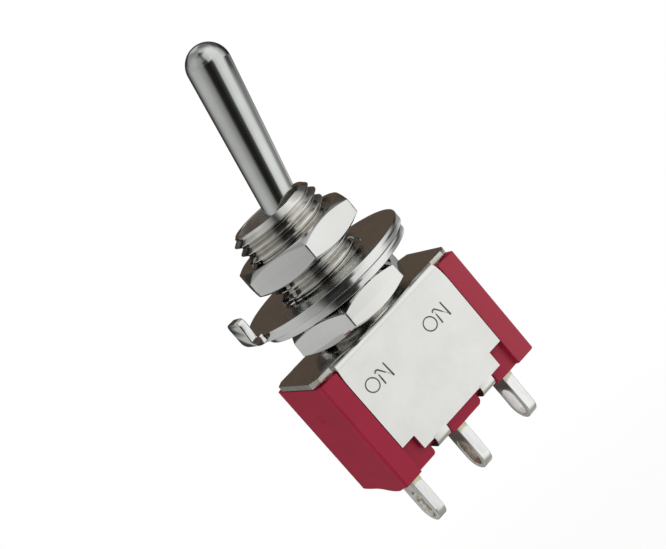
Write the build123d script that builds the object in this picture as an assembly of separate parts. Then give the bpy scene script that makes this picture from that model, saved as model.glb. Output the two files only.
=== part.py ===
from build123d import *
import os
from math import cos, radians, sin, sqrt, tan

# Mini toggle switch: single pole, two positions, solder lugs, threaded bushing.
# Millimetres and degrees. The origin is on the bushing's axis at the frame's top
# face. +Z runs up the bushing, +X along the row of lugs, and the marked leg faces -Y.
# The lever rests in one of its two positions, with the tip towards +X.

os.makedirs("parts", exist_ok=True)

# Body outline
body_length = 12.70
body_width = 6.86
corner_radius = 0.25
foot_edge_radius = 0.12
foot_drop = 0.18

# Folded frame
sheet = 0.40
fold_radius = 0.50
plate_corner_cut = 0.50
leg_width = 9.64
leg_depth = 6.78
tongue_width = 7.46
tongue_length = 1.08
tab_centre = 2.275
tab_width = 1.55
tab_drop = 0.71
tab_reach = 1.50
groove_margin = 0.10

# Bushing
bushing_radius = 3.12
bushing_height = 9.00
rim_chamfer = 0.45
mouth_radius = 2.40
mouth_straight = 1.60
seat_overlap = 0.49
flange_thickness = 1.00
flange_ledge = 0.20
flange_slot_margin = 0.25
keyway_width = 1.00
keyway_depth = 0.50

# Lever, turned in one piece: bat, neck, ball and hollow stem
pivot_height = 5.00
rest_tilt = 14.0
lever_reach = 14.90
bat_tip_radius = 1.48
bat_neck_radius = 1.175
ball_radius = 2.35
ball_flat_width = 3.80
stem_radius = 1.15
stem_drop = 4.70
stem_bore_rise = 1.20

# Plunger and its spring
plunger_radius = 0.77
plunger_top_drop = 2.40
plunger_spigot_radius = 0.38
plunger_spigot_length = 0.60
spring_end_gap = 0.01
spring_coil_radius = 0.59
spring_wire_radius = 0.12
spring_turns = 6.5

# Rocking contact
rocker_depth = 4.60
rocker_tilt = 9.0
rocker_sheet = 0.30
rocker_width = 2.20
rocker_trough_half = 2.35
rocker_arm_length = 1.70
rocker_ear_length = 0.60
rocker_ear_reach = 0.42
button_radius = 0.55
button_height = 0.30
button_dome_radius = 1.20
button_spacing = 3.40
contact_gap = 0.02

# Terminals
lug_pitch = 4.70
lug_width = 2.03
lug_thickness = 0.76
lug_length = 4.21
lug_hole_width = 1.10
lug_hole_length = 2.10
lug_hole_margin = 0.36
shelf_margin = 0.10
shelf_thickness = 0.45
cradle_sheet = 0.35
cradle_length = 1.90
cradle_depth = 2.25
cradle_rise = 0.30
cradle_gap = 0.06

# Housing cavity
cavity_length = 10.60
cavity_width = 4.30

# Potting around the lugs
potting_margin = 0.35
potting_depth = 0.50
collar_margin = 0.10
collar_length = 1.27

# Nuts and washers on the bushing
nut_flats = 7.94
nut_thickness = 1.80
nut_bevel_radius = 3.85
nut_bevel_angle = 30.0
upper_nut_bottom = 5.25
upper_nut_turn = 12.9
lower_nut_bottom = 0.45
lower_nut_turn = 1.8
ring_radius = 5.95
ring_thickness = 0.60
ring_bottom = 3.25
ring_key_margin = 0.10
ring_key_gap = 0.15
ring_tab_width = 1.70
ring_tab_overhang = 0.87
ring_tab_height = 2.17
ring_tab_bend = 0.75
ring_tab_corner = 0.30
tooth_washer_radius = 5.50
tooth_washer_thickness = 0.50
tooth_washer_bottom = 2.62
tooth_washer_shift = 0.25
tooth_root_radius = 4.35
tooth_count = 12
tooth_width = 1.10
tooth_twist = 9.0

# Clearances, on each side
slide_clearance = 0.03
ball_clearance = 0.04
washer_clearance = 0.10
blade_clearance = 0.02
pocket_clearance = 0.05

# Places worked out from the sizes above
leg_face = body_width / 2
recess_face = leg_face - fold_radius
tongue_end = -(leg_depth + tongue_length)
tab_underside = tongue_end - tab_drop
body_underside = tab_underside - foot_drop
lug_tip = body_underside - lug_length
housing_top = -sheet
flange_underside = housing_top - flange_thickness
seat_radius = ball_radius + ball_clearance
seat_opening_radius = seat_radius - seat_overlap
stem_bore_radius = plunger_radius + slide_clearance
lug_places = (-lug_pitch, 0, lug_pitch)
flange_half_x = cavity_length / 2 + flange_ledge
flange_half_y = cavity_width / 2 + flange_ledge
cradle_half_y = rocker_width / 2 + cradle_gap + cradle_sheet
rocker_pivot_z = -rocker_depth
well_floor = rocker_pivot_z - cradle_depth

# Centre of the plunger's round tip, measured down the lever from its pivot. At mid
# travel the tip stands a running gap above the middle of the rocking contact.
tip_drop = pivot_height + rocker_depth - rocker_sheet / 2 - slide_clearance - plunger_radius


def turned_about_y(x, z, angle):
    """A point of the XZ plane turned about the Y axis."""
    a = radians(angle)
    return x * cos(a) + z * sin(a), z * cos(a) - x * sin(a)


# The tip's path as the rocking contact sees it is close to an arc. The arc through
# its middle and its end gives the radius of the contact's trough.
tip_x, tip_z = turned_about_y(0, -tip_drop, rest_tilt)
path_x, path_z = turned_about_y(tip_x, tip_z + pivot_height + rocker_depth, rocker_tilt)
path_low = pivot_height + rocker_depth - tip_drop
path_rise = path_z - path_low
path_radius = (path_x**2 + path_rise**2) / (2 * path_rise)
trough_radius = path_radius + plunger_radius + slide_clearance
trough_centre_z = path_low + path_radius
trough_mid_radius = trough_radius + rocker_sheet / 2
arm_z = trough_centre_z - sqrt(trough_mid_radius**2 - rocker_trough_half**2)

# Lowest point of a moving button on the arm that is down, where the fixed one meets it
button_centre_z = arm_z - rocker_sheet / 2 - button_height + button_dome_radius
touch_x, touch_z = turned_about_y(-button_spacing, button_centre_z, -rocker_tilt)
fixed_button_top = rocker_pivot_z + touch_z - button_dome_radius - contact_gap
shelf_top = fixed_button_top - button_height
fixed_button_x = abs(touch_x)
cavity_floor = shelf_top - shelf_thickness


def block(x0, x1, y0, y1, z0, z1):
    """A box between two opposite corners."""
    centre = Pos((x0 + x1) / 2, (y0 + y1) / 2, (z0 + z1) / 2)
    return centre * Box(abs(x1 - x0), abs(y1 - y0), abs(z1 - z0))


def centred_block(x, half_x, half_y, z0, z1):
    """A box centred on a place along X, given by its half sizes."""
    return block(x - half_x, x + half_x, -half_y, half_y, z0, z1)


def rod(radius, z0, z1):
    """A round bar on the Z axis between two heights."""
    return Pos(0, 0, (z0 + z1) / 2) * Cylinder(radius, z1 - z0)


def turned(*points):
    """A turned solid on the Z axis from (radius, height) corners."""
    outline = Polyline(*[(r, 0, z) for r, z in points], close=True)
    return revolve(make_face(outline), Axis.Z)


def on_lever(shape):
    """A shape made upright about the lever's pivot, put at the rest tilt."""
    return Pos(0, 0, pivot_height) * Rot(0, rest_tilt, 0) * shape


def on_rocker(shape):
    """A shape made level about the rocking contact's pivot, put at its rest tilt."""
    return Pos(0, 0, rocker_pivot_z) * Rot(0, -rocker_tilt, 0) * shape

# ---------------------------------------------------------------- frame


def folded(plane, points, radius, thickness):
    """Section of bent sheet along a centre line, given its outer bend radius."""
    return plane * trace(FilletPolyline(*points, radius=radius - thickness / 2), thickness)


def make_frame():
    """One folded sheet: top plate, a leg on each side, and four locking tabs."""
    plate_x = body_length / 2
    cut = plate_corner_cut
    quarter = [(plate_x, recess_face - cut), (plate_x - cut, recess_face)]
    half = quarter + [(-x, y) for x, y in reversed(quarter)]
    outline = half + [(-x, -y) for x, y in half]
    plate = extrude(make_face(Polyline(*outline, close=True)), -sheet)

    leg_y = leg_face - sheet / 2
    leg_line = [(0, -sheet / 2), (leg_y, -sheet / 2), (leg_y, -leg_depth)]
    leg = extrude(folded(Plane.YZ, leg_line, fold_radius, sheet), leg_width / 2, both=True)
    leg += block(-tongue_width / 2, tongue_width / 2, leg_face - sheet, leg_face, tongue_end, -leg_depth)

    tab_z = tab_underside + sheet / 2
    tab_line = [(leg_y, -leg_depth), (leg_y, tab_z), (leg_face - tab_reach, tab_z)]
    tab = extrude(folded(Plane.YZ, tab_line, fold_radius, sheet), tab_width / 2, both=True)
    for x in (-tab_centre, tab_centre):
        leg += Pos(x, 0, 0) * tab
    body = plate + leg + mirror(leg, Plane.XZ)
    return body - rod(bushing_radius + slide_clearance, -sheet, 0)


# ---------------------------------------------------------------- housing


def make_housing():
    """Moulded body: leg recesses, tab grooves, cavity, and a pocket round each lug."""
    body = block(-body_length / 2, body_length / 2, -leg_face, leg_face, body_underside, housing_top)
    body = fillet(body.edges().filter_by(Axis.Z), corner_radius)
    body = fillet(body.faces().sort_by(Axis.Z)[0].edges(), foot_edge_radius)

    recess_x = leg_width / 2 + pocket_clearance
    groove_half = tab_width / 2 + groove_margin
    for side in (-1, 1):
        body -= block(-recess_x, recess_x, side * recess_face, side * body_width, body_underside, 0)
        x = side * tab_centre
        groove_top = tab_underside + sheet
        body -= block(x - groove_half, x + groove_half, -leg_face, leg_face, body_underside, groove_top)

    pocket_x = flange_half_x + pocket_clearance
    pocket_y = flange_half_y + pocket_clearance
    body -= centred_block(0, pocket_x, pocket_y, flange_underside, housing_top)
    body -= centred_block(0, cavity_length / 2, cavity_width / 2, cavity_floor, flange_underside)
    well_x = cradle_length / 2 + pocket_clearance
    well_y = cradle_half_y + pocket_clearance
    body -= centred_block(0, well_x, well_y, well_floor, cavity_floor)
    for x in lug_places:
        slot_x = lug_thickness / 2 + blade_clearance
        slot_y = lug_width / 2 + blade_clearance
        body -= centred_block(x, slot_x, slot_y, body_underside, cavity_floor)
        body -= potting_pocket(x)
    return body


def potting_pocket(x):
    """The recess in the underside that the sealing compound fills round one lug."""
    half_x = lug_thickness / 2 + potting_margin
    half_y = lug_width / 2 + potting_margin
    return centred_block(x, half_x, half_y, body_underside, body_underside + potting_depth)


def make_seal(x):
    """Sealing compound in its pocket, with the collar that crept down the lug."""
    half_x = lug_thickness / 2 + collar_margin
    half_y = lug_width / 2 + collar_margin
    collar = centred_block(x, half_x, half_y, body_underside - collar_length, body_underside)
    return potting_pocket(x) + collar - blade(x, lug_tip, body_underside + potting_depth)


# ---------------------------------------------------------------- bushing and lever


def make_bushing():
    """Flanged barrel with a keyway, a flat-sided ball seat and a flared mouth."""
    rim = bushing_radius - rim_chamfer
    barrel = turned(
        (0, housing_top),
        (bushing_radius, housing_top),
        (bushing_radius, bushing_height - rim_chamfer),
        (rim, bushing_height),
        (0, bushing_height),
    )
    barrel += centred_block(0, flange_half_x, flange_half_y, flange_underside, housing_top)

    seat_top = pivot_height + sqrt(seat_radius**2 - seat_opening_radius**2)
    seat = rod(seat_radius, flange_underside, pivot_height)
    seat += Pos(0, 0, pivot_height) * Sphere(seat_radius)
    flat_y = ball_flat_width / 2 + slide_clearance
    seat &= centred_block(0, seat_radius, flat_y, flange_underside, seat_top)
    mouth = turned(
        (0, pivot_height),
        (seat_opening_radius, pivot_height),
        (seat_opening_radius, seat_top),
        (mouth_radius, bushing_height - mouth_straight),
        (mouth_radius, bushing_height),
        (0, bushing_height),
    )
    sweep_x = (pivot_height - flange_underside) * tan(radians(rest_tilt))
    slot_x = sweep_x + plunger_radius / cos(radians(rest_tilt)) + flange_slot_margin
    slot_y = plunger_radius + flange_slot_margin
    slot = centred_block(0, slot_x, slot_y, flange_underside, housing_top)
    keyway_floor = keyway_depth - bushing_radius
    keyway = block(-body_width, keyway_floor, -keyway_width / 2, keyway_width / 2, 0, bushing_height)
    return barrel - seat - mouth - slot - keyway


def make_lever():
    """Bat, neck, flat-sided ball and hollow stem, turned from one bar."""
    tip_centre = lever_reach - bat_tip_radius
    bat = turned(
        (0, 0),
        (bat_neck_radius, 0),
        (bat_neck_radius, ball_radius),
        (bat_tip_radius, tip_centre),
        (0, tip_centre),
    )
    bat += Pos(0, 0, tip_centre) * Sphere(bat_tip_radius)
    ball = Sphere(ball_radius)
    ball &= centred_block(0, ball_radius, ball_flat_width / 2, -ball_radius, ball_radius)
    body = bat + ball + rod(stem_radius, -stem_drop, 0)
    return on_lever(body - rod(stem_bore_radius, -stem_drop, stem_bore_rise))


def make_plunger():
    """Round-nosed pin that slides in the lever's stem, with a spigot in the spring."""
    pin = rod(plunger_radius, -tip_drop, -plunger_top_drop)
    pin += Pos(0, 0, -tip_drop) * Sphere(plunger_radius)
    pin += rod(plunger_spigot_radius, -plunger_top_drop, plunger_spigot_length - plunger_top_drop)
    return on_lever(pin)


def make_spring():
    """Compression spring between the plunger's shoulder and the bore's end."""
    end = spring_wire_radius + spring_end_gap
    low = -plunger_top_drop + end
    height = stem_bore_rise - end - low
    path = Pos(0, 0, low) * Helix(height / spring_turns, height, spring_coil_radius)
    wire = Plane(origin=path @ 0, z_dir=path % 0) * Circle(spring_wire_radius)
    return on_lever(sweep(wire, path=path))


# ---------------------------------------------------------------- contacts


def trough_drum(radius):
    """A disc across the rocking contact, about the axis of its trough."""
    return Pos(0, 0, trough_centre_z) * Rot(90, 0, 0) * Cylinder(radius, rocker_width)


def make_rocker():
    """Strip with a round trough for the plunger, two flat arms and two pivot ears."""
    end_x = rocker_trough_half + rocker_arm_length
    low = -rocker_sheet
    strip = centred_block(0, end_x, rocker_width / 2, low, arm_z + rocker_sheet / 2)
    arms = centred_block(0, end_x, rocker_width / 2, arm_z - rocker_sheet / 2, arm_z + rocker_sheet / 2)
    strip = arms + (strip & trough_drum(trough_radius + rocker_sheet)) - trough_drum(trough_radius)
    ear_y = rocker_width / 2 + rocker_ear_reach
    ears = centred_block(0, rocker_ear_length / 2, ear_y, -rocker_sheet / 2, rocker_sheet / 2)
    ears -= centred_block(0, rocker_ear_length, rocker_width / 2, -rocker_sheet, rocker_sheet)
    return on_rocker(strip + ears)


def make_moving_button(side):
    """Domed button under one arm of the rocking contact."""
    arm_underside = arm_z - rocker_sheet / 2
    button = rod(button_radius, arm_underside - button_height, arm_underside)
    button &= Pos(0, 0, button_centre_z) * Sphere(button_dome_radius)
    return on_rocker(Pos(side * button_spacing, 0, 0) * button)


def make_fixed_button(side):
    """Flat button on a side terminal's shelf."""
    return Pos(side * fixed_button_x, 0, 0) * rod(button_radius, shelf_top, fixed_button_top)


def blade(x, z0, z1):
    """The flat bar of a terminal between two heights."""
    return centred_block(x, lug_thickness / 2, lug_width / 2, z0, z1)


def solder_lug(x, z1):
    """A terminal's blade with its round tip and its slot for the wire."""
    tip_radius = lug_width / 2
    lug = blade(x, lug_tip + tip_radius, z1)
    lug += Pos(x, 0, lug_tip + tip_radius) * Rot(0, 90, 0) * Cylinder(tip_radius, lug_thickness)
    slot_z = lug_tip + lug_hole_margin + lug_hole_length / 2
    slot = Plane.YZ * Rot(0, 0, 90) * SlotOverall(lug_hole_length, lug_hole_width)
    return lug - Pos(x, 0, slot_z) * extrude(slot, lug_thickness, both=True)


def make_side_terminal(side):
    """Solder lug with a shelf bent inwards on the cavity's floor."""
    outer = lug_pitch + lug_thickness / 2
    inner = fixed_button_x - button_radius - shelf_margin
    shelf = block(side * inner, side * outer, -lug_width / 2, lug_width / 2, cavity_floor, shelf_top)
    return solder_lug(side * lug_pitch, cavity_floor) + shelf


def make_common_terminal():
    """Solder lug with a U-shaped cradle whose notches carry the rocking contact."""
    half_x = cradle_length / 2
    top = rocker_pivot_z + cradle_rise
    cradle = centred_block(0, half_x, cradle_half_y, well_floor, top)
    inner_y = cradle_half_y - cradle_sheet
    cradle -= centred_block(0, half_x, inner_y, well_floor + cradle_sheet, top)
    tilt = radians(rocker_tilt)
    ear_drop = rocker_ear_length / 2 * sin(tilt) + rocker_sheet / 2 * cos(tilt)
    notch_x = rocker_ear_length / 2 + cradle_gap
    notch_floor = rocker_pivot_z - ear_drop - slide_clearance
    cradle -= centred_block(0, notch_x, cradle_half_y, notch_floor, top)
    return solder_lug(0, well_floor) + cradle


# ---------------------------------------------------------------- nuts and washers


def make_nut(bottom, turn):
    """Hexagon nut, bevelled on both faces."""
    corner = nut_flats / sqrt(3)
    drop = (corner - nut_bevel_radius) * tan(radians(nut_bevel_angle))
    hexagon = Rot(0, 0, turn) * extrude(RegularPolygon(corner, 6), nut_thickness)
    envelope = turned(
        (0, 0),
        (nut_bevel_radius, 0),
        (corner, drop),
        (corner, nut_thickness - drop),
        (nut_bevel_radius, nut_thickness),
        (0, nut_thickness),
    )
    nut = (hexagon & envelope) - rod(bushing_radius + slide_clearance, 0, nut_thickness)
    return Pos(0, 0, bottom) * nut


def make_ring():
    """Locking ring: a key in the bushing's keyway and a tab bent up at the edge."""
    ring = rod(ring_radius, 0, ring_thickness)
    ring -= rod(bushing_radius + washer_clearance, 0, ring_thickness)
    key_x = bushing_radius - keyway_depth + ring_key_gap
    key_y = keyway_width / 2 - ring_key_margin
    ring += block(-ring_radius + ring_tab_bend, -key_x, -key_y, key_y, 0, ring_thickness)

    mid = ring_thickness / 2
    tab_x = ring_radius + ring_tab_overhang - mid
    line = [(-ring_radius + ring_tab_bend, mid), (-tab_x, mid), (-tab_x, ring_tab_height)]
    tab = extrude(folded(Plane.XZ, line, ring_tab_bend, ring_thickness), ring_tab_width / 2, both=True)
    top_edges = tab.faces().sort_by(Axis.Z)[-1].edges().filter_by(Axis.X)
    tab = fillet(top_edges, ring_tab_corner)
    return Pos(0, 0, ring_bottom) * (ring + tab)


def make_lock_washer():
    """Lock washer with twisted internal teeth, lying a little off centre."""
    half = tooth_washer_thickness / 2
    washer = rod(tooth_washer_radius, -half, half) - rod(tooth_root_radius, -half, half)
    tip = bushing_radius + tooth_washer_shift + washer_clearance
    length = tooth_root_radius + half - tip
    tooth = Box(length, tooth_width, tooth_washer_thickness)
    tooth = Pos(tip + length / 2, 0, 0) * Rot(tooth_twist, 0, 0) * tooth
    for i in range(tooth_count):
        washer += Rot(0, 0, 360 * (i + 0.5) / tooth_count) * tooth
    return Pos(tooth_washer_shift, 0, tooth_washer_bottom + half) * washer


# ---------------------------------------------------------------- all pieces

nodes = {
    "housing": make_housing(),
    "frame": make_frame(),
    "bushing": make_bushing(),
    "lever": make_lever(),
    "plunger": make_plunger(),
    "plunger_spring": make_spring(),
    "rocker_contact": make_rocker(),
    "moving_contact_left": make_moving_button(-1),
    "moving_contact_right": make_moving_button(1),
    "fixed_contact_left": make_fixed_button(-1),
    "fixed_contact_right": make_fixed_button(1),
    "terminal_left": make_side_terminal(-1),
    "terminal_common": make_common_terminal(),
    "terminal_right": make_side_terminal(1),
    "seal_left": make_seal(-lug_pitch),
    "seal_centre": make_seal(0),
    "seal_right": make_seal(lug_pitch),
    "upper_nut": make_nut(upper_nut_bottom, upper_nut_turn),
    "lower_nut": make_nut(lower_nut_bottom, lower_nut_turn),
    "locking_ring": make_ring(),
    "lock_washer": make_lock_washer(),
}

for name, shape in nodes.items():
    export_step(shape, f"parts/{name}.step")
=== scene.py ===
import math
from contextlib import contextmanager

import bmesh
import bpy
from mathutils import Matrix, Vector
from mathutils.geometry import tessellate_polygon


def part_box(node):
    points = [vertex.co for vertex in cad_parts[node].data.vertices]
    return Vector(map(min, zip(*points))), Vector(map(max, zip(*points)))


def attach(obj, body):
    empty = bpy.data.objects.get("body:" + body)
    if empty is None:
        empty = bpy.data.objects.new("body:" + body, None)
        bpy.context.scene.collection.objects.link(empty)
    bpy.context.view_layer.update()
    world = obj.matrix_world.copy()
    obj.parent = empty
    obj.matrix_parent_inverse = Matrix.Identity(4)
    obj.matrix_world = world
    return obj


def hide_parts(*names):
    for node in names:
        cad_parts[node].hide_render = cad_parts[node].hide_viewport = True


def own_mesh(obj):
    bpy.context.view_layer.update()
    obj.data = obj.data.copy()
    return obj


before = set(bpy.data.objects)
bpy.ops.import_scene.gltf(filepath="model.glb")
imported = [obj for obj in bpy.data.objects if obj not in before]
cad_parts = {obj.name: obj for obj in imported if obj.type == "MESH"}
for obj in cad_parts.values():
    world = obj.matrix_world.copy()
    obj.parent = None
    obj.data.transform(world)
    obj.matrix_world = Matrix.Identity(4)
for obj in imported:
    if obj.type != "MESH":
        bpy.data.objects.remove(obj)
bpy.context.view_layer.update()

# All sizes below are in millimetres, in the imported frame's axes. Angles are in degrees.
MM = 0.001
PI = math.pi

pivot_height = 5.0
lever_tilt = 14.0


def edges_of(node):
    """Lowest and highest corner of a CAD node, in millimetres."""
    lo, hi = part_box(node)
    return lo / MM, hi / MM


# ---------------- mesh helpers


def polar(radius, angle):
    """The (x, y) of a point on a circle about the origin. The angle is in radians."""
    return radius * math.cos(angle), radius * math.sin(angle)


def circle(radius, segments):
    return [polar(radius, 2 * PI * k / segments) for k in range(segments)]


def rectangle(x, y, x0=None):
    """A rectangle from x0 (or -x) to x and from -y to y."""
    x0 = -x if x0 is None else x0
    return [(x0, -y), (x, -y), (x, y), (x0, y)]


def rounded(points, radius, steps=3, closed=False):
    """A 2-D outline with arcs in place of its corners. A point may carry its own radius."""
    count = len(points)
    out = []
    for i, here in enumerate(points):
        r = here[2] if len(here) > 2 else radius
        p = Vector(here[:2])
        if r <= 0 or (not closed and i in (0, count - 1)):
            out.append(tuple(p))
            continue
        a = Vector(points[i - 1][:2]) - p
        b = Vector(points[(i + 1) % count][:2]) - p
        la, lb = a.length, b.length
        if la < 1e-9 or lb < 1e-9:
            out.append(tuple(p))
            continue
        a, b = a / la, b / lb
        half = math.acos(max(-1.0, min(1.0, a.dot(b)))) / 2
        if half > PI / 2 - 0.02:
            out.append(tuple(p))
            continue
        reach = min(r / math.tan(half), la * 0.48, lb * 0.48)
        r = reach * math.tan(half)
        centre = p + (a + b).normalized() * (r / math.sin(half))
        start, end = p + a * reach - centre, p + b * reach - centre
        t0 = math.atan2(start.y, start.x)
        turn = math.atan2(start.x * end.y - start.y * end.x, start.dot(end))
        for k in range(steps + 1):
            t = t0 + turn * k / steps
            out.append((centre.x + r * math.cos(t), centre.y + r * math.sin(t)))
    return out


class Build:
    """Gathers vertices and faces in millimetres and makes one mesh object of them."""

    def __init__(self):
        self.verts = []
        self.faces = []

    def add(self, verts, faces):
        start = len(self.verts)
        self.verts += [tuple(v) for v in verts]
        self.faces += [tuple(i + start for i in f) for f in faces]

    def grid(self, rows, wrap_rows=False, wrap_columns=False):
        """Quads between neighbouring rows and columns of points."""
        count, columns = len(rows), len(rows[0])
        faces = []
        for i in range(count if wrap_rows else count - 1):
            here, there = i * columns, (i + 1) % count * columns
            for j in range(columns if wrap_columns else columns - 1):
                beside = (j + 1) % columns
                faces.append((here + j, here + beside, there + beside, there + j))
        self.add([v for row in rows for v in row], faces)

    def lathe(self, profile, segments, closed=False, place=lambda v: v):
        """A turned surface about Z from (radius, height) points."""
        rows = []
        for k in range(segments):
            t = 2 * PI * k / segments
            rows.append([place(Vector((*polar(r, t), z))) for r, z in profile])
        self.grid(rows, wrap_rows=True, wrap_columns=closed)

    def fill(self, loops, place):
        """Flat triangles inside the first 2-D loop and outside the others."""
        flat = [p for loop in loops for p in loop]
        tris = tessellate_polygon([[Vector((x, y, 0)) for x, y in loop] for loop in loops])
        self.add([place(x, y) for x, y in flat], tris)

    def slab(self, outline, holes, z0, z1, bevel, place=lambda v: v):
        """An extruded outline with holes. Its top and bottom edges are rounded."""
        profile = rounded([(bevel, z0), (0, z0, bevel), (0, z1, bevel), (bevel, z1)], bevel, 3)
        ends = []
        for loop, side in [(outline, 1)] + [(hole, -1) for hole in holes]:
            walls = list(zip(loop, insets(loop, side)))
            rows = []
            for p, n in walls:
                rows.append([place(Vector((p[0] + n[0] * d, p[1] + n[1] * d, z))) for d, z in profile])
            self.grid(rows, wrap_rows=True)
            ends.append([(p[0] + n[0] * bevel, p[1] + n[1] * bevel) for p, n in walls])
        self.fill(ends, lambda x, y: place(Vector((x, y, z0))))
        self.fill(ends, lambda x, y: place(Vector((x, y, z1))))

    def tube(self, path, radius, closed, sides=10):
        """A round tube along a path in 3-D, with flat or joined ends. Radius may be a list."""
        rows = []
        count = len(path)
        for i, p in enumerate(path):
            before = path[i - 1] if closed or i else path[i]
            after = path[(i + 1) % count] if closed or i < count - 1 else path[i]
            along = (after - before).normalized()
            side = along.cross(Vector((0, 1, 0))).normalized()
            up = side.cross(along)
            r = radius[i] if isinstance(radius, list) else radius
            rows.append([p + (side * x + up * y) * r for x, y in circle(1, sides)])
        self.grid(rows, wrap_rows=closed, wrap_columns=True)
        if not closed:
            self.cap(count, sides)

    def cap(self, rows, sides):
        """Closes both ends of the tube that was added last."""
        end = len(self.verts)
        start = end - rows * sides
        self.faces.append(tuple(range(start, start + sides)))
        self.faces.append(tuple(range(end - sides, end)))

    def mesh(self, name):
        me = bpy.data.meshes.new(name)
        me.from_pydata([(x * MM, y * MM, z * MM) for x, y, z in self.verts], [], self.faces)
        tidy(me)
        return me

    def piece(self, name, material, sharp):
        return as_piece(self.mesh(name), name, material, sharp)


def insets(loop, side):
    """For each corner of a loop, the vector that moves it inwards by one unit of wall."""
    area = sum(a[0] * b[1] - b[0] * a[1] for a, b in zip(loop, loop[1:] + loop[:1]))
    turn = math.copysign(1, area) * side
    out = []
    for i, p in enumerate(loop):
        a = Vector(p) - Vector(loop[i - 1])
        b = Vector(loop[(i + 1) % len(loop)]) - Vector(p)
        na = Vector((-a.y, a.x)).normalized() * turn
        nb = Vector((-b.y, b.x)).normalized() * turn
        mid = na + nb
        out.append(tuple(mid / max(0.4, mid.length_squared / 2)))
    return out


@contextmanager
def editing(me):
    """A mesh opened for bmesh's operations, and written back afterwards."""
    bm = bmesh.new()
    bm.from_mesh(me)
    yield bm
    bm.to_mesh(me)
    bm.free()


def tidy(me, join_flat=False):
    """Joins doubled vertices, drops faces without area and turns all faces outwards."""
    with editing(me) as bm:
        bmesh.ops.remove_doubles(bm, verts=bm.verts, dist=2e-7)
        bmesh.ops.dissolve_degenerate(bm, edges=bm.edges, dist=2e-7)
        if join_flat:
            bmesh.ops.dissolve_limit(bm, angle_limit=math.radians(1), verts=bm.verts, edges=bm.edges)
        bmesh.ops.recalc_face_normals(bm, faces=bm.faces)
    me.update()


def put_in_scene(name, data):
    obj = bpy.data.objects.new(name, data)
    bpy.context.scene.collection.objects.link(obj)
    return obj


def paint(me, material):
    """Gives a mesh one material or a list of them, and keeps each face's slot."""
    coats = material if isinstance(material, list) else [material]
    slots = [min(face.material_index, len(coats) - 1) for face in me.polygons]
    me.materials.clear()
    for layer in coats:
        me.materials.append(layer)
    for face, slot in zip(me.polygons, slots):
        face.material_index = slot


def as_piece(me, name, material, sharp=35, weighted=True):
    """An object of a finished mesh, smooth except where it turns by more than sharp degrees."""
    obj = put_in_scene(name, me)
    me.shade_smooth()
    me.set_sharp_from_angle(angle=math.radians(sharp))
    paint(me, material)
    if weighted:
        m = obj.modifiers.new("normals", "WEIGHTED_NORMAL")
        m.keep_sharp = True
        m.weight = 60
    return obj


def coat(obj, slot, test):
    """Gives a material slot to the faces that a test of centre (mm) and normal picks."""
    for face in obj.data.polygons:
        if test(face.center / MM, face.normal):
            face.material_index = slot


def applied(obj):
    """Applies the object's modifiers to its mesh."""
    dg = bpy.context.evaluated_depsgraph_get()
    me = bpy.data.meshes.new_from_object(obj.evaluated_get(dg))
    old = obj.data
    obj.modifiers.clear()
    obj.data = me
    bpy.data.meshes.remove(old)


def softened(node, name, width, material, cutters=(), steps=3, shape=None, extra=None):
    """A copy of a CAD node's mesh with its edges rounded, and cutters taken out of it.

    shape changes the mesh before its edges are rounded, and extra is added to it last."""
    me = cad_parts[node].data.copy()
    me.name = name
    for layer in list(me.attributes):
        if layer.name == "custom_normal":
            me.attributes.remove(layer)
    tidy(me, join_flat=True)
    if shape:
        with editing(me) as bm:
            shape(bm)
    paint(me, material)
    obj = put_in_scene(name, me)
    m = obj.modifiers.new("edges", "BEVEL")
    m.width = width * MM
    m.segments = steps
    m.limit_method = "ANGLE"
    m.angle_limit = math.radians(35)
    m.use_clamp_overlap = True
    m.miter_outer = "MITER_ARC"
    applied(obj)
    for cutter in cutters:
        m = obj.modifiers.new("cut", "BOOLEAN")
        m.operation = "DIFFERENCE"
        m.solver = "EXACT"
        m.object = cutter
        applied(obj)
    for cutter in cutters:
        bpy.data.objects.remove(cutter)
    me = obj.data
    bpy.data.objects.remove(obj)
    if extra:
        with editing(me) as bm:
            bm.from_mesh(extra.mesh(name + "_extra"))
    return as_piece(me, name, material)


def belongs(obj, body, slot, *nodes):
    """The piece moves with a body and stands for CAD nodes, which it hides. The slot argument is not used."""
    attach(obj, body)
    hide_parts(*nodes)


# ---------------- materials


def linear(*values):
    """Linear light for 8-bit display values."""
    out = []
    for v in values:
        c = v / 255
        out.append(c / 12.92 if c <= 0.04045 else ((c + 0.055) / 1.055) ** 2.4)
    return tuple(out)


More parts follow.
